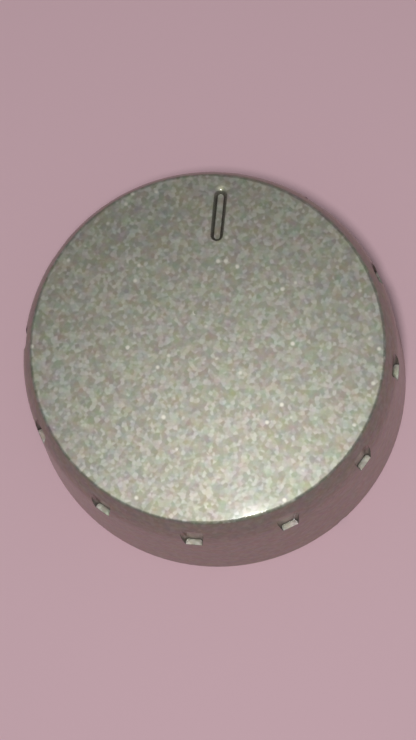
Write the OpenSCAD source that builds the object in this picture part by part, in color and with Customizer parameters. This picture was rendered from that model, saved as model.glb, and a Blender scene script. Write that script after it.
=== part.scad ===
// Oven knob: a moulded cup with a gently crowned face, a rounded shoulder with drafted grip
// notches, and a ribbed hub inside whose D-shaped socket is sprung by a bowed steel leaf.
// The rim stands on Z = 0, the knob turns about Z and the pointer groove lies towards +Y.

/* [Outer form] */
// Diameter of the bottom rim
rim_d = 42; // [38:0.5:56]
// Height from the rim to the middle of the face
knob_h = 21; // [19:0.1:28]
// Lean of the side wall from upright, in degrees
wall_draft = 4; // [1:0.1:5]
// How far the face's edge stands in from the line of the side wall
shoulder_inset = 1; // [0.8:0.1:2]
// Radius of the shoulder between the side wall and the face
shoulder_r = 13.5; // [8:0.5:20]
// Rise of the face from its edge to its middle
face_crown = 1; // [0.5:0.1:1.4]
// Rounding of the face's edge
face_edge_r = 0.4; // [0.3:0.05:0.8]
// Chamfer on the outer edge of the rim
rim_chamfer = 0.3; // [0.1:0.1:0.6]

/* [Grip notches] */
// Number of notches around the shoulder
notch_count = 12; // [6:1:18]
// Width of a notch along its ledge
notch_w = 1.8; // [1.6:0.1:3]
// Drop from the face's edge to the ledge that ends a notch
ledge_drop = 6.7; // [4:0.1:9]
// How far a ledge reaches in from the side wall
notch_depth = 0.65; // [0.5:0.05:1.1]
// Radius of the upright corners at the back of a notch
notch_corner_r = 0.35; // [0.2:0.05:0.5]
// Lean of a notch's sides from upright, which widens its mouth upwards, in degrees
notch_flare = 5; // [1:0.5:8]
// Lean of a notch's back from upright, in degrees
notch_lean = 1.5; // [0.5:0.1:3]

/* [Pointer groove] */
// Length of the pointer groove's flat floor
pointer_len = 5.05; // [3:0.05:8]
// Width of the pointer groove at the face
pointer_w = 1.4; // [1.2:0.05:2]
// Width of the pointer groove's flat floor
pointer_floor_w = 0.65; // [0.4:0.05:0.9]
// Depth of the pointer groove at its outer end
pointer_depth = 0.5; // [0.3:0.05:0.6]
// Distance from the face's edge to the outer end of the groove's floor
pointer_edge_gap = 2.1; // [1.9:0.05:4]
// Distance from the middle of the groove's outer end to the middle of the hollow that it runs out in
runout_shift = 0.45; // [0.3:0.05:0.6]
// Radius of that hollow at the face
runout_w = 0.8; // [0.6:0.05:0.9]
// Radius of the rounding between the hollow and the face
runout_r = 1.5; // [1:0.05:2]

/* [Shell] */
// Thickness of the side wall
wall_t = 1.9; // [1.7:0.1:2.6]
// Thickness of the top at the face's edge
top_t = 2.2; // [1.8:0.1:3]
// Bevel in the corner between the side wall and the top, inside
inner_bevel = 1.5; // [0.5:0.1:2.5]
// Number of ribs between the hub and the side wall
rib_count = 6; // [3:1:10]
// Thickness of a rib
rib_t = 1.2; // [0.8:0.1:2]
// Height of the ribs' lower edges above the rim
rib_recess = 8; // [4:0.5:12]
// Radius of the nick in the rim's outer edge
nick_r = 1; // [0.6:0.1:1.6]
// Depth of the nick
nick_depth = 0.35; // [0.2:0.05:0.5]
// Place of the nick around the rim, in degrees from +X
nick_angle = -44; // [-180:1:180]

/* [Hub] */
// Diameter of the spindle that the knob fits
spindle_d = 6; // [5:0.1:7]
// Thickness of the spindle across its flat
spindle_flat_t = 4.6; // [4.2:0.1:5]
// Play between the spindle and the D-shaped socket, on each side
socket_play = 0.05; // [0.02:0.01:0.1]
// Play between the spindle and the round pilot at the mouth, on each side
pilot_play = 0.25; // [0.2:0.01:0.4]
// Length of the round pilot
pilot_len = 4; // [2:0.5:6]
// Length of the D-shaped socket above the pilot
socket_len = 9.5; // [8:0.5:11]
// Size of the lead-in bevel at the hub's mouth
lead_in = 0.5; // [0.2:0.1:0.8]
// Outer diameter of the hub
hub_d = 12; // [11:0.5:15]
// Bevel around the hub where it meets the top
hub_bevel = 1; // [0.4:0.1:1.5]
// Chamfer on the outer edge of the hub's mouth
hub_chamfer = 0.4; // [0.2:0.1:0.8]
// Height of the hub's mouth above the rim
hub_recess = 1.5; // [0.5:0.1:3]

/* [Spring] */
// Thickness of the spring leaf
spring_t = 0.4; // [0.3:0.05:0.5]
// Width of the spring leaf
spring_w = 3.4; // [2.6:0.1:3.6]
// Rise of the leaf's middle above its ends
spring_bow = 0.7; // [0.5:0.05:0.9]
// How far the leaf's crest stands into the socket past the flat
spring_bite = 0.12; // [0.05:0.01:0.2]
// Play at the leaf's ends and sides in its pocket
spring_play = 0.1; // [0.05:0.01:0.2]
// Gap behind the leaf's ends
spring_seat_gap = 0.02; // [0.01:0.01:0.05]
// Height of the land that keeps the leaf in at the pocket's lower end
spring_land = 0.8; // [0.4:0.1:1.2]

/* [Hidden] */
$fn = 96;
// Segments of the crown's full circle, of which the face shows a few degrees
crown_fn = 2400;
full_turn = 360;
pointer_angle = 90;
// Overlap that lets a cut run past the face that it opens
over = 1;

// Side wall: its line leans in from the rim, and the face's edge lies inside that line
rim_r = rim_d / 2;
face_edge_z = knob_h - face_crown;
function wall_r(z) = rim_r - z * tan(wall_draft);
face_r = wall_r(face_edge_z) - shoulder_inset;

// Crown: the sphere through the face's edge and its middle
crown_r = (face_r * face_r + face_crown * face_crown) / (2 * face_crown);
crown_z = knob_h - crown_r;

// Shoulder: the arc that leaves the wall's line smoothly and ends at the face's edge
edge_gap = shoulder_inset * cos(wall_draft);
edge_along = face_edge_z / cos(wall_draft) - edge_gap * tan(wall_draft);
shoulder_along = edge_along - sqrt(edge_gap * (2 * shoulder_r - edge_gap));
shoulder_x = rim_r - shoulder_along * sin(wall_draft) - shoulder_r * cos(wall_draft);
shoulder_z = shoulder_along * cos(wall_draft) - shoulder_r * sin(wall_draft);
tangent_z = shoulder_along * cos(wall_draft);

// Rounding of the face's edge: a circle that touches the shoulder and the crown from inside
shoulder_arm = shoulder_r - face_edge_r;
crown_arm = crown_r - face_edge_r;
centre_span = norm([shoulder_x, shoulder_z - crown_z]);
span_angle = atan2(shoulder_z - crown_z, shoulder_x);
arm_angle = acos((crown_arm * crown_arm + centre_span * centre_span - shoulder_arm * shoulder_arm)
                 / (2 * crown_arm * centre_span));
edge_angle = span_angle - arm_angle;
edge_x = crown_arm * cos(edge_angle);
edge_z = crown_z + crown_arm * sin(edge_angle);
touch_angle = atan2(edge_z - shoulder_z, edge_x - shoulder_x);
crown_touch = [edge_x + face_edge_r * cos(edge_angle), edge_z + face_edge_r * sin(edge_angle)];
shoulder_touch = [edge_x + face_edge_r * cos(touch_angle), edge_z + face_edge_r * sin(touch_angle)];

// Notches: measured from the side wall at the height of the ledge
ledge_z = face_edge_z - ledge_drop;
notch_back_r = wall_r(ledge_z) - notch_depth;
notch_rise = ledge_drop + face_crown + over;
notch_spread = notch_rise * tan(notch_flare);
notch_reach = rim_r + over - notch_back_r;
corner_half_w = notch_corner_r / cos(notch_flare);
notch_flat_w = notch_w - 2 * corner_half_w;

// Pointer groove: laid along the crown at the middle of its outer end
pointer_span = pointer_len - pointer_floor_w;
pointer_end_y = face_r - pointer_edge_gap - pointer_floor_w / 2;
pointer_tilt = asin(pointer_end_y / crown_r);
pointer_cut_h = pointer_depth + over;
pointer_cut_w = pointer_floor_w + (pointer_w - pointer_floor_w) * pointer_cut_h / pointer_depth;

// Inside of the shell
cavity_rim_r = rim_r - wall_t;
cavity_top_z = face_edge_z - top_t;
cavity_top_r = wall_r(cavity_top_z) - wall_t;
bevel_z = cavity_top_z - inner_bevel;
bevel_r = wall_r(bevel_z) - wall_t;

// Socket: the round pilot lies below the D-shaped part
hub_r = hub_d / 2;
spindle_r = spindle_d / 2;
pilot_r = spindle_r + pilot_play;
socket_r = spindle_r + socket_play;
flat_y = spindle_r - spindle_flat_t - socket_play;
pilot_z = hub_recess + lead_in;
socket_z = pilot_z + pilot_len;
socket_top_z = socket_z + socket_len;

// Spring pocket behind the flat, and the arc of the leaf that lies in it
pocket_z = socket_z + spring_land;
pocket_len = socket_len - 2 * spring_land;
pocket_w = spring_w + 2 * spring_play;
spring_len = pocket_len - 2 * spring_play;
leaf_r = (spring_len * spring_len / 4 + spring_bow * spring_bow) / (2 * spring_bow);
leaf_inner_r = leaf_r - spring_t;
crest_y = flat_y + spring_bite;
leaf_y = crest_y - leaf_r;
leaf_end_y = leaf_y + sqrt(leaf_inner_r * leaf_inner_r - spring_len * spring_len / 4);
pocket_back_y = leaf_end_y - spring_seat_gap;

// Half of the knob's outer section, solid inside
module outer_section() {
    intersection() {
        union() {
            polygon([[0, 0], [rim_r - rim_chamfer, 0], [wall_r(rim_chamfer), rim_chamfer],
                     [wall_r(tangent_z), tangent_z], [0, tangent_z]]);
            intersection() {
                translate([shoulder_x, shoulder_z]) circle(r = shoulder_r);
                translate([0, tangent_z]) square([rim_r, knob_h - tangent_z]);
            }
            translate([0, tangent_z]) square([shoulder_x, knob_h - tangent_z]);
        }
        translate([0, crown_z]) circle(r = crown_r, $fn = crown_fn);
    }
}

// The outer section with the corner at the face's edge cut off and rounded
module rounded_section() {
    intersection() {
        outer_section();
        polygon([[0, 0], [rim_r, 0], [rim_r, shoulder_touch[1] - over], shoulder_touch,
                 crown_touch, [0, knob_h + over]]);
    }
    translate([edge_x, edge_z]) circle(r = face_edge_r);
}

// Upright slab that widens towards its top, standing on Z = 0 and reaching out along X
module notch_slab(bottom_w) {
    rotate([90, 0, 90])
        linear_extrude(height = notch_reach)
            polygon([[-bottom_w / 2, 0], [bottom_w / 2, 0],
                     [bottom_w / 2 + notch_spread, notch_rise],
                     [-bottom_w / 2 - notch_spread, notch_rise]]);
}

// One notch, cut from outside: rounded back corners, flared sides and a flat ledge
module notch() {
    translate([notch_back_r, 0, ledge_z])
        rotate([0, -notch_lean, 0]) {
            notch_slab(notch_flat_w);
            translate([notch_corner_r, 0, 0]) notch_slab(notch_w);
            intersection() {
                for (side = [-1, 1])
                    translate([notch_corner_r, side * notch_flat_w / 2, 0])
                        rotate([-side * notch_flare, 0, 0])
                            translate([0, 0, -over])
                                cylinder(h = notch_rise + over, r = notch_corner_r);
                translate([0, -notch_w, 0]) cube([notch_reach, 2 * notch_w, notch_rise]);
            }
        }
}

// The ring of notches, one of them in line with the pointer groove
module notches() {
    for (i = [0 : notch_count - 1])
        rotate([0, 0, pointer_angle + i * full_turn / notch_count]) notch();
}

// Straight part of the pointer groove, with a flat floor and leaning sides, running towards -Y
module pointer_cut() {
    rotate([90, 0, 0])
        linear_extrude(height = pointer_span)
            polygon([[-pointer_floor_w / 2, 0], [pointer_floor_w / 2, 0],
                     [pointer_cut_w / 2, pointer_cut_h], [-pointer_cut_w / 2, pointer_cut_h]]);
}

// Shallow hollow, rounded into the face, in which the groove's outer end runs out
module pointer_runout() {
    rotate_extrude()
        difference() {
            square([runout_w, pointer_cut_h]);
            translate([runout_w, pointer_depth - runout_r]) circle(r = runout_r);
        }
}

// Pointer groove: the straight part, its two ends and the hollow at the outer one
module pointer_groove() {
    translate([0, 0, crown_z])
        rotate([-pointer_tilt, 0, 0])
            translate([0, 0, crown_r - pointer_depth]) {
                pointer_cut();
                for (end_y = [0, -pointer_span])
                    translate([0, end_y, 0])
                        cylinder(h = pointer_cut_h, d1 = pointer_floor_w, d2 = pointer_cut_w);
                translate([0, runout_shift, 0]) pointer_runout();
            }
}

// Space inside the shell, before the hub and ribs
module cavity() {
    rotate_extrude()
        polygon([[0, -over], [cavity_rim_r, -over], [cavity_rim_r, 0], [bevel_r, bevel_z],
                 [cavity_top_r - inner_bevel, cavity_top_z], [0, cavity_top_z]]);
}

// Hub post, as it stands in the cavity
module hub_post() {
    rotate_extrude()
        polygon([[0, hub_recess], [hub_r - hub_chamfer, hub_recess],
                 [hub_r, hub_recess + hub_chamfer], [hub_r, cavity_top_z - hub_bevel],
                 [hub_r + hub_bevel + over, cavity_top_z + over], [0, cavity_top_z + over]]);
}

// Ribs from the hub to the side wall
module ribs() {
    for (i = [0 : rib_count - 1])
        rotate([0, 0, pointer_angle + i * full_turn / rib_count])
            translate([0, -rib_t / 2, rib_recess])
                cube([rim_r, rib_t, cavity_top_z - rib_recess + over]);
}

// Spindle socket: lead-in bevel, round pilot, D-shaped part and the spring's pocket
module socket() {
    translate([0, 0, hub_recess - over]) cylinder(h = over, r = pilot_r + lead_in);
    translate([0, 0, hub_recess]) cylinder(h = lead_in, r1 = pilot_r + lead_in, r2 = pilot_r);
    translate([0, 0, pilot_z]) cylinder(h = pilot_len, r = pilot_r);
    difference() {
        translate([0, 0, socket_z]) cylinder(h = socket_len, r = socket_r);
        translate([-socket_r, flat_y - socket_r, socket_z])
            cube([2 * socket_r, socket_r, socket_len]);
    }
    translate([-pocket_w / 2, pocket_back_y, pocket_z])
        cube([pocket_w, -pocket_back_y, pocket_len]);
}

// Nick in the rim's outer edge
module nick() {
    rotate([0, 0, nick_angle])
        translate([rim_r + nick_r - nick_depth, 0, 0]) sphere(r = nick_r);
}

// Moulded knob: shell, hub, ribs and socket in one piece
module knob_body() {
    color([0.66, 0.65, 0.61])
        difference() {
            rotate_extrude() rounded_section();
            difference() {
                cavity();
                hub_post();
                ribs();
            }
            socket();
            notches();
            pointer_groove();
            nick();
        }
}

// Bowed spring leaf: its ends lie against the back of the pocket and its crest faces the spindle
module spindle_spring() {
    color([0.60, 0.60, 0.62])
        translate([-spring_w / 2, leaf_y, pocket_z + pocket_len / 2])
            rotate([90, 0, 90])
                linear_extrude(height = spring_w)
                    intersection() {
                        difference() {
                            circle(r = leaf_r);
                            circle(r = leaf_inner_r);
                        }
                        translate([0, -spring_len / 2]) square([leaf_r, spring_len]);
                    }
}

knob_body();
spindle_spring();
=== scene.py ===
"""Finishes, studio and camera for the oven knob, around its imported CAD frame."""

import math

import bmesh
import bpy
from mathutils import Matrix, Vector


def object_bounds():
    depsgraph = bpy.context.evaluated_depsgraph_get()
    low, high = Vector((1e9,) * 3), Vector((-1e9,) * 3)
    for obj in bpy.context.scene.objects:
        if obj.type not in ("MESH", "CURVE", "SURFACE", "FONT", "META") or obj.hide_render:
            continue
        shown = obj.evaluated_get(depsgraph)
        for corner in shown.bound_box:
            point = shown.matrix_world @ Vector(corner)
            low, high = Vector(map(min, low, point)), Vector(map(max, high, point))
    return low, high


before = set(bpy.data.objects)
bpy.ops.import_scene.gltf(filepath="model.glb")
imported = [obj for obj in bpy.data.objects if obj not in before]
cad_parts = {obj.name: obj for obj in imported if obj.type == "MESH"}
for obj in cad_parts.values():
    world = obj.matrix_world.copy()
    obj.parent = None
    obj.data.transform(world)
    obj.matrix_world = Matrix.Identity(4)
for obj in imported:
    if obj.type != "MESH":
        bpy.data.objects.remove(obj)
cad_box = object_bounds()

bl_info = {
    "name": "Oven knob finishes",
    "version": (1, 0, 0),
    "blender": (4, 5, 0),
    "location": "View3D > Sidebar > Knob",
    "description": "Flake lacquer, bare moulding, spring steel and studio for an oven knob",
    "category": "Material",
}

MM = 0.001
HALF = 0.5
BODY_NODE = "knob_body"
SPRING_NODE = "spindle_spring"

# The photograph's frame, in pixels, and the camera's sensor on its long side, in millimetres
FRAME_WIDTH = 416
FRAME_HEIGHT = 740
SENSOR_MM = 36

# Nearest and furthest distance that the camera sees, in metres
CLIP_NEAR = 0.01
CLIP_FAR = 20

# Sockets of a colour Mix node, by place
MIX_FACTOR = 0
MIX_A = 6
MIX_B = 7
MIX_COLOUR = 2

# Octaves of the noise textures
EVEN_DETAIL = 2.0
FINE_DETAIL = 3.0
MOTTLE_DETAIL = 4.0

# Lean of the side wall, which the lacquer's edge follows
WALL_DRAFT = math.radians(4)

# Depth behind the outer wall's line at which the lacquer ends and up to which it is full
PAINT_END = 1.75 * MM
PAINT_FULL = 1.25 * MM

# Heights between the underside of the top and the face: bare below, lacquered above
TOP_INSIDE = 18.2 * MM
TOP_OUTSIDE = 18.9 * MM

# Ragged edge of the lacquer
RAGGED_SIZE = 0.5 * MM
RAGGED_REACH = 0.7 * MM

# Mist of lacquer just inside the rim: how high it reaches, its drops and how few there are
MIST_HEIGHT = 3.5 * MM
MIST_SIZE = 0.16 * MM
MIST_LEVEL = 0.42

# Nick in the rim, which is bare
NICK_ANGLE = math.radians(-44)
NICK_CENTRE_R = 21.65 * MM
NICK_REACH = 1.02 * MM
NICK_FADE = 0.12 * MM

# Painted shade in corners and recesses: how much of the space within reach of a point is open where
# the painted shade starts and is darkest
CORNER_REACH = 0.5 * MM
RECESS_REACH = 1.6 * MM
CREASE_FREE = 0.95
CORNER_FULL = 0.5
RECESS_FULL = 0.6
CREASE_SAMPLES = 8

# Share of the painted corner shade that a face looking up is spared, and the lacquer's level in the
# painted shade of a crease
LEDGE_RELIEF = 0.4
CREASE_SHADE = 0.1

# Upward part of the normal at which a face starts to count as looking up, and counts in full
UP_START = 0.5
UP_FULL = 0.95

# Share of the flakes' contrast that upright faces keep
SIDE_CONTRAST = 0.35

# How far neighbouring flakes run into each other
FLAKE_BLEND = 0.6

# Bends the flakes' even spread of brightness so that bright ones are fewer
FLAKE_SKEW = 1.4

# Reach of a painted glint in its cell, and of its bright core
GLINT_EDGE = 0.42
GLINT_CORE = 0.1

# Lacquer: share that acts as metal, and its clear coat
LACQUER_METAL = 0.96
COAT_ROUGHNESS = 0.08
COAT_IOR = 1.5
EDGE_SAMPLES = 6

# Bare plastic: its mottle, the paler end of it as a multiple, and its fine skin
MOTTLE_SIZE = 2.5 * MM
MOTTLE_REACH = 0.5
MOTTLE_LIFT = 2
PLASTIC_ROUGHNESS = 0.42
PLASTIC_ROUGHNESS_SPREAD = 0.2
SKIN_SIZE = 0.12 * MM
SKIN_DEPTH = 0.02 * MM
SKIN_STRENGTH = 0.5

# Spring steel: grain drawn out along the leaf, and stains
GRAIN_SQUEEZE = (1.0, 1.0, 0.04)
GRAIN_SHADE = 0.8
GRAIN_DEPTH = 0.01 * MM
GRAIN_STRENGTH = 0.3
STAIN_SIZE = 1.4 * MM
STAIN_START = 0.45
STAIN_FULL = 0.7
STAIN_REACH = 0.35
STAIN_COLOUR = (0.36, 0.33, 0.29)
STEEL_ROUGHNESS = 0.28
GRAIN_ROUGHNESS = 0.16
STAIN_ROUGHNESS = 0.12

# Floor: a disc just below the rim, with a faint cloud in its colour
FLOOR_RADIUS = 3.0
FLOOR_SIDES = 64
FLOOR_DROP = 0.02 * MM
FLOOR_ROUGHNESS = 0.7
CLOUD_SIZE = 60 * MM
CLOUD_REACH = 0.08
CLOUD_SHADE = 0.85

# Sines of the heights at which the room's ceiling starts and its walls end
CEILING_RISE = 0.7
WALL_RISE = 0.1


class Wire:
    """A node's output socket that stands in Python sums: each operator adds a Math node."""

    def __init__(self, tree, socket=None):
        self.tree = tree
        self.socket = socket

    def add(self, kind, settings=None, inputs=None, output=0):
        """Adds a node, sets it, fills or links its sockets, and returns one of its outputs."""
        made = self.tree.nodes.new(kind)
        for name, value in (settings or {}).items():
            setattr(made, name, value)
        for key, value in (inputs or {}).items():
            if isinstance(value, Wire):
                self.tree.links.new(value.socket, made.inputs[key])
            else:
                made.inputs[key].default_value = value
        return Wire(self.tree, made.outputs[output] if made.outputs else None)

    def out(self, name):
        """Another output of the same node."""
        return Wire(self.tree, self.socket.node.outputs[name])

    def math(self, operation, first, second):
        """A sum of two numbers or wires."""
        return self.add("ShaderNodeMath", {"operation": operation}, {0: first, 1: second})

    def __add__(self, other):
        return self.math("ADD", self, other)

    def __radd__(self, other):
        return self.math("ADD", other, self)

    def __sub__(self, other):
        return self.math("SUBTRACT", self, other)

    def __rsub__(self, other):
        return self.math("SUBTRACT", other, self)

    def __mul__(self, other):
        return self.math("MULTIPLY", self, other)

    def __rmul__(self, other):
        return self.math("MULTIPLY", other, self)

    def __pow__(self, other):
        return self.math("POWER", self, other)

    def __gt__(self, other):
        """1 where this is the larger and 0 elsewhere."""
        return self.math("GREATER_THAN", self, other)

    def __or__(self, other):
        """The larger of the two."""
        return self.math("MAXIMUM", self, other)

    def fade(self, start, end):
        """0 at start and 1 at end, with a smooth step between."""
        return self.add(
            "ShaderNodeMapRange",
            {"interpolation_type": "SMOOTHSTEP"},
            {"Value": self, "From Min": start, "From Max": end},
        )

    def vector(self, operation, first, second):
        """A sum of two vectors."""
        return self.add("ShaderNodeVectorMath", {"operation": operation}, {0: first, 1: second})

    def mix(self, factor, first, second, blend="MIX"):
        """Mixes two colours."""
        return self.add(
            "ShaderNodeMix",
            {"data_type": "RGBA", "blend_type": blend},
            {MIX_FACTOR: factor, MIX_A: first, MIX_B: second},
            MIX_COLOUR,
        )


def opaque(colour):
    """A colour as the four numbers that a socket takes."""
    return (*colour, 1.0)


def shaded(colour, level):
    """A colour made darker or paler by one factor, for a socket."""
    return opaque([level * part for part in colour])


def grey(level):
    """A grey of one level, for a socket."""
    return opaque((level,) * 3)


def colour_property(name, description, default):
    return bpy.props.FloatVectorProperty(
        name=name, description=description, default=default, subtype="COLOR", size=3, min=0, max=1
    )


def length_property(name, description, default):
    return bpy.props.FloatProperty(
        name=name, description=description, default=default, unit="LENGTH", min=0, precision=5
    )


def angle_property(name, description, degrees):
    return bpy.props.FloatProperty(
        name=name, description=description, default=math.radians(degrees), subtype="ANGLE"
    )


def share_property(name, description, default):
    return bpy.props.FloatProperty(
        name=name, description=description, default=default, subtype="FACTOR", min=0, max=1
    )


class LacquerSettings(bpy.types.PropertyGroup):
    """Sizes and colours of the lacquer and of the bare moulding under it."""

    silver: colour_property("Silver", "Colour of the flake lacquer", (0.38, 0.373, 0.317))
    # Edge-on tint of the metal flakes; its pink is a painted reflection of pink surroundings, not the
    # lacquer's own colour
    edge_tint_and_painted_reflection: colour_property("Edge tint", "Tint of the flakes seen edge-on", (0.62, 0.36, 0.42))
    flake_size: length_property("Flakes", "Width of the lacquer's flakes", 0.39 * MM)
    flake_contrast: share_property("Flake contrast", "How far the flakes differ in brightness", 0.092)
    tint_size: length_property("Tint patches", "Width of the patches of one tint", 1.1 * MM)
    flake_tint: share_property("Flake tint", "Strength of the flakes' own colours", 0.062)
    flake_tilt: share_property("Flake tilt", "How far the flakes lean", 0.02)
    # Painted glints: a few flakes painted brighter, as if catching the light
    glint_size: length_property("Glint spacing", "Width of the cells that may hold a glint", 0.8 * MM)
    glint_share: share_property("Glints", "Share of the cells that hold a glint", 0.035)
    glint: colour_property("Glint", "Colour of the few bright flakes", (0.64, 0.62, 0.54))
    lacquer_roughness: share_property("Roughness", "Roughness of the flake layer", 0.56)
    coat: share_property("Clear coat", "Weight of the clear coat", 0.36)
    # Strength of the painted shade in creases and recesses
    painted_shade_strength: share_property("Crease depth", "How much darker the lacquer is in creases", 0.85)
    plastic: colour_property("Plastic", "Colour of the bare moulding", (0.045, 0.045, 0.047))
    edge_softness: length_property("Edge softness", "Rounding that the lacquer gives edges", 0.12 * MM)


class SpringSettings(bpy.types.PropertyGroup):
    """Colour and grain of the spring leaf."""

    steel: colour_property("Steel", "Colour of the spring steel", (0.56, 0.56, 0.57))
    grain_width: length_property("Grain", "Width of the rolled grain", 0.05 * MM)


class StageSettings(bpy.types.PropertyGroup):
    """Floor, light and camera."""

    floor: colour_property("Floor", "Colour of the studio floor", (0.72, 0.48, 0.54))
    key_power: bpy.props.FloatProperty(
        name="Key power", description="Power of the soft key light", default=0.29, unit="POWER", min=0
    )
    key_size: length_property("Key size", "Width of the key light", 23 * MM)
    key_distance: length_property("Key distance", "Distance of the key light", 248 * MM)
    key_azimuth: angle_property("Key azimuth", "Bearing of the key light", 14.5)
    key_elevation: angle_property("Key elevation", "Height of the key light", 79.4)
    ceiling: share_property("Ceiling", "Level of the soft light from above", 0.19)
    walls: share_property("Walls", "Level of the soft light from the sides", 0.4)
    azimuth: angle_property("Azimuth", "Bearing of the camera", 23.88)
    elevation: angle_property("Elevation", "Height of the camera above the horizon", 77.86)
    roll: angle_property("Roll", "Turn of the camera about its own axis", -19.06)
    distance: length_property("Distance", "Distance of the camera from the face", 230 * MM)
    focal_px: bpy.props.FloatProperty(
        name="Focal length", description="Focal length in pixels of the frame", default=2210.2
    )
    target_height: length_property("Target height", "Height of the point aimed at", 20 * MM)
    target_px: bpy.props.FloatVectorProperty(
        name="Target",
        description="Pixel at which the point aimed at lies",
        default=(206.87, 346.17),
        size=2,
    )


def new_material(name):
    """An empty node material and the wire that its nodes start from."""
    material = bpy.data.materials.new(name)
    material.use_nodes = True
    material.node_tree.nodes.clear()
    return material, Wire(material.node_tree)


def close_material(root, surface):
    """Links a finished shader to the material's output."""
    root.add("ShaderNodeOutputMaterial", inputs={"Surface": surface})


def give_material(node_name, material):
    """Puts a material on a CAD node's object."""
    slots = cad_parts[node_name].data.materials
    slots.clear()
    slots.append(material)


def noise(root, place, size, detail=EVEN_DETAIL):
    """Even noise with features of the given size, around one half."""
    return root.add(
        "ShaderNodeTexNoise", inputs={"Vector": place, "Scale": 1 / size, "Detail": detail}
    )


def painted_glint_mask(root, place, finish):
    """Painted glints: soft bright dots in a few of the cells of a loose pattern."""
    near = root.add("ShaderNodeTexVoronoi", inputs={"Vector": place, "Scale": 1 / finish.glint_size})
    chance = root.add("ShaderNodeSeparateColor", inputs={"Color": near.out("Color")})
    chosen = chance.out("Blue") > 1 - finish.glint_share
    return chosen * near.fade(GLINT_EDGE, GLINT_CORE)


def facing_up(root):
    """1 on faces that look up and 0 on upright ones."""
    facing = root.add("ShaderNodeTexCoord", output="Normal")
    rise = root.add("ShaderNodeSeparateXYZ", inputs={"Vector": facing}).out("Z")
    return rise.fade(UP_START, UP_FULL)


def openness(root, reach):
    """Share of the directions above a point that are free within reach."""
    return root.add(
        "ShaderNodeAmbientOcclusion",
        {"samples": CREASE_SAMPLES, "only_local": True},
        {"Distance": reach},
        "AO",
    )


def painted_shade_mask(root, up):
    """Painted shade: 1 in sharp corners and on upright faces of narrow recesses, 0 in the open."""
    corner = openness(root, CORNER_REACH).fade(CREASE_FREE, CORNER_FULL)
    recess = openness(root, RECESS_REACH).fade(CREASE_FREE, RECESS_FULL)
    return corner * (1 - up * LEDGE_RELIEF) | recess * (1 - up)


def painted_mask(root, place):
    """1 on the lacquered outside and 0 on the bare inside, with a ragged edge and mist at the rim."""
    axes = root.add("ShaderNodeSeparateXYZ", inputs={"Vector": place})
    x = axes.out("X")
    y = axes.out("Y")
    height = axes.out("Z")
    radius = (x * x + y * y) ** HALF
    rim_radius = cad_box[1].x
    inset = rim_radius - height * math.tan(WALL_DRAFT) - radius
    ragged = (noise(root, place, RAGGED_SIZE) - HALF) * RAGGED_REACH
    outside = (inset + ragged).fade(PAINT_END, PAINT_FULL)
    top = height.fade(TOP_INSIDE, TOP_OUTSIDE)
    mist = (noise(root, place, MIST_SIZE) * height.fade(MIST_HEIGHT, 0.0)).fade(MIST_LEVEL, HALF)
    nick_centre = (NICK_CENTRE_R * math.cos(NICK_ANGLE), NICK_CENTRE_R * math.sin(NICK_ANGLE), 0.0)
    from_nick = root.add(
        "ShaderNodeVectorMath", {"operation": "DISTANCE"}, {0: place, 1: nick_centre}, "Value"
    )
    whole = from_nick.fade(NICK_REACH, NICK_REACH + NICK_FADE)
    return (outside | top | mist) * whole


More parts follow.
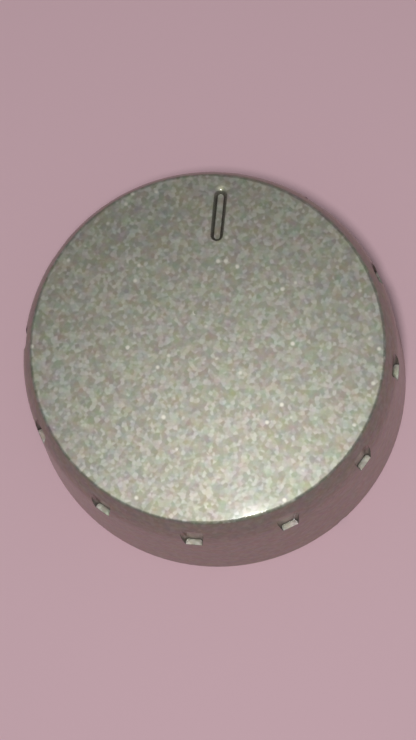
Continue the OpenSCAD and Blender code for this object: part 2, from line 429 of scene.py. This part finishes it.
def lacquer_material(finish):
    """Silver flake lacquer under a clear coat outside, bare moulded plastic inside."""
    material, root = new_material("silver_flake_lacquer")
    place = root.add("ShaderNodeTexCoord", output="Object")
    painted = painted_mask(root, place)

    flakes = root.add(
        "ShaderNodeTexVoronoi",
        {"feature": "SMOOTH_F1"},
        {"Vector": place, "Scale": 1 / finish.flake_size, "Smoothness": FLAKE_BLEND},
        "Color",
    )
    turned = root.add("ShaderNodeSeparateColor", inputs={"Color": flakes})
    shine = turned.out("Green") ** FLAKE_SKEW
    tints = noise(root, place, finish.tint_size).out("Color")
    up = facing_up(root)
    contrast = finish.flake_contrast * (SIDE_CONTRAST + up * (1 - SIDE_CONTRAST))
    silver = root.mix(contrast, opaque(finish.silver), shine, "LINEAR_LIGHT")
    silver = root.mix(finish.flake_tint, silver, tints, "LINEAR_LIGHT")
    # Painted glints, on faces looking up only, where light from above would catch the flakes
    silver = root.mix(painted_glint_mask(root, place, finish) * up, silver, opaque(finish.glint))
    # Painted shade: the lacquer is darkened in corners and recesses, less on faces looking up
    crease = painted_shade_mask(root, up) * finish.painted_shade_strength
    silver = root.mix(crease, silver, shaded(finish.silver, CREASE_SHADE))

    mottle = noise(root, place, MOTTLE_SIZE, MOTTLE_DETAIL)
    paler = shaded(finish.plastic, MOTTLE_LIFT)
    plastic = root.mix(mottle * MOTTLE_REACH, opaque(finish.plastic), paler)
    colour = root.mix(painted, plastic, silver)

    softened = root.add("ShaderNodeBevel", {"samples": EDGE_SAMPLES}, {"Radius": finish.edge_softness})
    lean = root.vector("SUBTRACT", flakes, (HALF, HALF, HALF))
    lean = root.add(
        "ShaderNodeVectorMath", {"operation": "SCALE"}, {0: lean, "Scale": painted * finish.flake_tilt}
    )
    leaning = root.vector("ADD", softened, lean)
    leaning = root.add("ShaderNodeVectorMath", {"operation": "NORMALIZE"}, {0: leaning})
    skin = noise(root, place, SKIN_SIZE, FINE_DETAIL)
    normal = root.add(
        "ShaderNodeBump",
        inputs={
            "Strength": SKIN_STRENGTH,
            "Distance": SKIN_DEPTH,
            "Height": skin * (1 - painted),
            "Normal": leaning,
        },
    )

    plastic_roughness = PLASTIC_ROUGHNESS + mottle * PLASTIC_ROUGHNESS_SPREAD
    roughness = plastic_roughness + painted * (finish.lacquer_roughness - plastic_roughness)
    shader = root.add(
        "ShaderNodeBsdfPrincipled",
        inputs={
            "Base Color": colour,
            "Metallic": painted * LACQUER_METAL,
            "Roughness": roughness,
            # The edge-on tint carries a painted pink reflection
            "Specular Tint": opaque(finish.edge_tint_and_painted_reflection),
            "Normal": normal,
            "Coat Weight": painted * finish.coat,
            "Coat Roughness": COAT_ROUGHNESS,
            "Coat IOR": COAT_IOR,
        },
    )
    close_material(root, shader)
    return material


def steel_material(spring):
    """Rolled spring steel with its grain along the leaf."""
    material, root = new_material("rolled_spring_steel")
    place = root.add("ShaderNodeTexCoord", output="Object")
    drawn = root.add("ShaderNodeMapping", inputs={"Vector": place, "Scale": GRAIN_SQUEEZE})
    grain = noise(root, drawn, spring.grain_width, FINE_DETAIL)
    stain = noise(root, place, STAIN_SIZE, FINE_DETAIL).fade(STAIN_START, STAIN_FULL)
    steel = root.mix(grain, shaded(spring.steel, GRAIN_SHADE), opaque(spring.steel))
    steel = root.mix(stain * STAIN_REACH, steel, opaque(STAIN_COLOUR))
    normal = root.add(
        "ShaderNodeBump",
        inputs={"Strength": GRAIN_STRENGTH, "Distance": GRAIN_DEPTH, "Height": grain},
    )
    shader = root.add(
        "ShaderNodeBsdfPrincipled",
        inputs={
            "Base Color": steel,
            "Metallic": 1.0,
            "Roughness": STEEL_ROUGHNESS + grain * GRAIN_ROUGHNESS + stain * STAIN_ROUGHNESS,
            "Normal": normal,
        },
    )
    close_material(root, shader)
    return material


def floor_material(stage):
    """Plain pale floor with a faint, even variation."""
    material, root = new_material("studio_floor")
    place = root.add("ShaderNodeTexCoord", output="Object")
    cloud = noise(root, place, CLOUD_SIZE, FINE_DETAIL)
    darker = shaded(stage.floor, CLOUD_SHADE)
    shader = root.add(
        "ShaderNodeBsdfPrincipled",
        inputs={
            "Base Color": root.mix(cloud * CLOUD_REACH, opaque(stage.floor), darker),
            "Roughness": FLOOR_ROUGHNESS,
        },
    )
    close_material(root, shader)
    return material


def bearing(azimuth, elevation):
    """Unit vector from the object towards a bearing: azimuth 0 lies on -Y, and 90 degrees on +X."""
    return Vector(
        (
            math.sin(azimuth) * math.cos(elevation),
            -math.cos(azimuth) * math.cos(elevation),
            math.sin(elevation),
        )
    )


def make_floor(stage):
    """A wide floor just under the rim."""
    shape = bmesh.new()
    bmesh.ops.create_circle(shape, cap_ends=True, segments=FLOOR_SIDES, radius=FLOOR_RADIUS)
    bmesh.ops.translate(shape, verts=shape.verts, vec=(0, 0, cad_box[0].z - FLOOR_DROP))
    mesh = bpy.data.meshes.new("studio_floor")
    shape.to_mesh(mesh)
    shape.free()
    mesh.materials.append(floor_material(stage))
    floor = bpy.data.objects.new("studio_floor", mesh)
    bpy.context.scene.collection.objects.link(floor)


def make_key(stage):
    """A small round softbox beside the camera, which the camera itself doesn't see."""
    lamp = bpy.data.lights.new("key_softbox", "AREA")
    lamp.shape = "DISK"
    lamp.size = stage.key_size
    lamp.energy = stage.key_power
    key = bpy.data.objects.new("key_softbox", lamp)
    towards = bearing(stage.key_azimuth, stage.key_elevation)
    key.location = towards * stage.key_distance
    key.rotation_mode = "QUATERNION"
    key.rotation_quaternion = (-towards).to_track_quat("-Z", "Y")
    key.visible_camera = False
    bpy.context.scene.collection.objects.link(key)


def make_world(stage):
    """A grey room whose walls are paler than its ceiling."""
    world = bpy.data.worlds.new("studio_room")
    world.use_nodes = True
    world.node_tree.nodes.clear()
    root = Wire(world.node_tree)
    towards = root.add("ShaderNodeTexCoord", output="Generated")
    rise = root.add("ShaderNodeSeparateXYZ", inputs={"Vector": towards}).out("Z")
    level = root.mix(rise.fade(CEILING_RISE, WALL_RISE), grey(stage.ceiling), grey(stage.walls))
    room = root.add("ShaderNodeBackground", inputs={"Color": level, "Strength": 1.0})
    root.add("ShaderNodeOutputWorld", inputs={"Surface": room})
    bpy.context.scene.world = world


def make_camera(stage):
    """The camera at the photograph's angle, with the face where the photograph has it."""
    target = Vector((0, 0, stage.target_height))
    back = bearing(stage.azimuth, stage.elevation)
    level = Vector((math.cos(stage.azimuth), math.sin(stage.azimuth), 0))
    upright = back.cross(level)
    right = math.cos(stage.roll) * level + math.sin(stage.roll) * upright
    up = math.cos(stage.roll) * upright - math.sin(stage.roll) * level
    aside = (FRAME_WIDTH / 2 - stage.target_px[0]) / stage.focal_px
    below = (FRAME_HEIGHT / 2 - stage.target_px[1]) / stage.focal_px
    backward = (back - aside * right + below * up).normalized()
    right = up.cross(backward).normalized()
    up = backward.cross(right)
    lens = bpy.data.cameras.new("photo_camera")
    lens.sensor_fit = "AUTO"
    lens.sensor_width = SENSOR_MM
    lens.lens = stage.focal_px / FRAME_HEIGHT * SENSOR_MM
    lens.clip_start = CLIP_NEAR
    lens.clip_end = CLIP_FAR
    camera = bpy.data.objects.new("photo_camera", lens)
    turn = Matrix((right, up, backward)).transposed().to_4x4()
    camera.matrix_world = Matrix.Translation(target + back * stage.distance) @ turn
    bpy.context.scene.collection.objects.link(camera)
    bpy.context.scene.camera = camera


class KNOB_OT_lacquer_body(bpy.types.Operator):
    """Lacquer the moulded body outside and leave it bare inside"""

    bl_idname = "knob.lacquer_body"
    bl_label = "Lacquer the body"

    def execute(self, context):
        give_material(BODY_NODE, lacquer_material(context.scene.knob_lacquer))
        return {"FINISHED"}


class KNOB_OT_finish_spring(bpy.types.Operator):
    """Give the spring leaf its rolled steel"""

    bl_idname = "knob.finish_spring"
    bl_label = "Finish the spring"

    def execute(self, context):
        give_material(SPRING_NODE, steel_material(context.scene.knob_spring))
        return {"FINISHED"}


class KNOB_OT_set_stage(bpy.types.Operator):
    """Make the floor, the light and the camera"""

    bl_idname = "knob.set_stage"
    bl_label = "Set the stage"

    def execute(self, context):
        stage = context.scene.knob_stage
        make_floor(stage)
        make_key(stage)
        make_world(stage)
        make_camera(stage)
        context.scene.view_settings.view_transform = "Standard"
        return {"FINISHED"}


class KNOB_PT_finishes(bpy.types.Panel):
    """Finishes and stage of the knob"""

    bl_idname = "KNOB_PT_finishes"
    bl_label = "Oven knob"
    bl_space_type = "VIEW_3D"
    bl_region_type = "UI"
    bl_category = "Knob"

    def draw(self, context):
        for group, operator in STEPS:
            settings = getattr(context.scene, group)
            box = self.layout.box()
            for name in settings.bl_rna.properties.keys():
                if name not in ("rna_type", "name"):
                    box.prop(settings, name)
            box.operator(operator)


STEPS = (
    ("knob_lacquer", KNOB_OT_lacquer_body.bl_idname),
    ("knob_spring", KNOB_OT_finish_spring.bl_idname),
    ("knob_stage", KNOB_OT_set_stage.bl_idname),
)
GROUPS = {
    "knob_lacquer": LacquerSettings,
    "knob_spring": SpringSettings,
    "knob_stage": StageSettings,
}
CLASSES = (
    *GROUPS.values(),
    KNOB_OT_lacquer_body,
    KNOB_OT_finish_spring,
    KNOB_OT_set_stage,
    KNOB_PT_finishes,
)


def register():
    for cls in CLASSES:
        bpy.utils.register_class(cls)
    for name, group in GROUPS.items():
        setattr(bpy.types.Scene, name, bpy.props.PointerProperty(type=group))


def unregister():
    for name in GROUPS:
        delattr(bpy.types.Scene, name)
    for cls in reversed(CLASSES):
        bpy.utils.unregister_class(cls)


def main():
    register()
    bpy.ops.knob.lacquer_body()
    bpy.ops.knob.finish_spring()
    bpy.ops.knob.set_stage()


if __name__ == "__main__":
    main()
